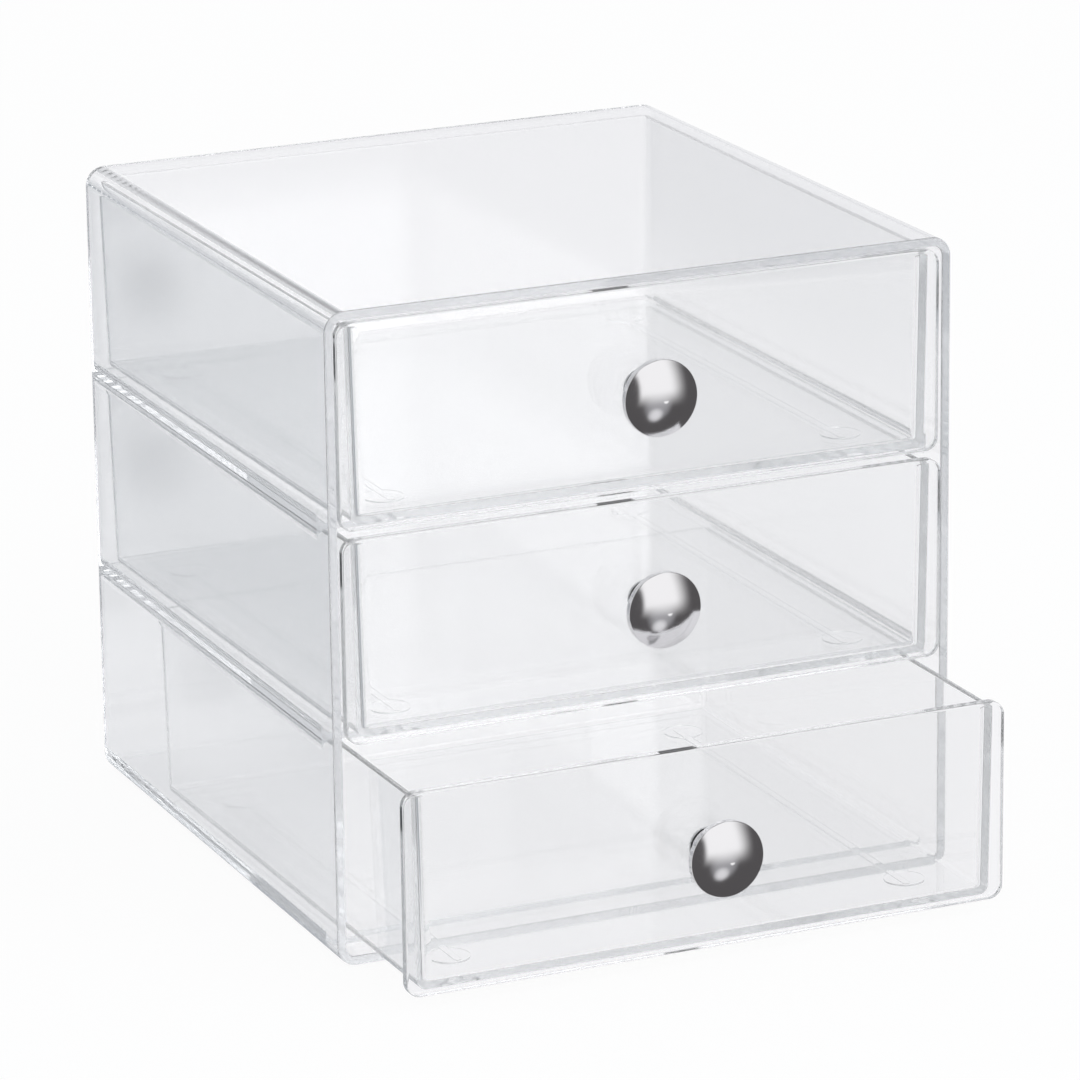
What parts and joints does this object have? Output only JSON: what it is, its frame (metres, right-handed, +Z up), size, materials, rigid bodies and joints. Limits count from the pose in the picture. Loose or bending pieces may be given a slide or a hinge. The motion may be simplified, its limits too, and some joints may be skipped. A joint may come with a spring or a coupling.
{
  "type": "clear drawer organizer",
  "caption": "Clear moulded desktop organizer: a rounded box case holding a stack of shallow slide-out drawers, each with a round metal knob on its front panel.",
  "frame": {"origin": "centre of the case's underside, on the surface that it stands on", "axes": "+X to the right seen from the front, -Y out of the front in the way that the drawers open, +Z up"},
  "size_m": [0.178, 0.2289, 0.1755],
  "materials": {
    "case_plastic": "clear, glossy moulded polystyrene",
    "drawer_plastic": "clear, glossy moulded polystyrene",
    "knob_metal": "polished nickel finish",
    "fixing_steel": "plain zinc-plated steel"
  },
  "bodies": {
    "case": {"case": "case_plastic"},
    "drawer_top": {"drawer_top": "drawer_plastic", "knob_top": "knob_metal", "knob_washer_top": "fixing_steel", "knob_screw_top": "fixing_steel"},
    "drawer_middle": {"drawer_middle": "drawer_plastic", "knob_middle": "knob_metal", "knob_washer_middle": "fixing_steel", "knob_screw_middle": "fixing_steel"},
    "drawer_bottom": {"drawer_bottom": "drawer_plastic", "knob_bottom": "knob_metal", "knob_washer_bottom": "fixing_steel", "knob_screw_bottom": "fixing_steel"}
  },
  "joints": [
    {"name": "top_drawer_slide", "type": "slide", "parent": "case", "child": "drawer_top", "axis": [0, -1, 0], "range_m": [0, 0.12]},
    {"name": "middle_drawer_slide", "type": "slide", "parent": "case", "child": "drawer_middle", "axis": [0, -1, 0], "range_m": [-0.0015, 0.1185]},
    {"name": "bottom_drawer_slide", "type": "slide", "parent": "case", "child": "drawer_bottom", "axis": [0, -1, 0], "range_m": [-0.038, 0.082]}
  ]
}
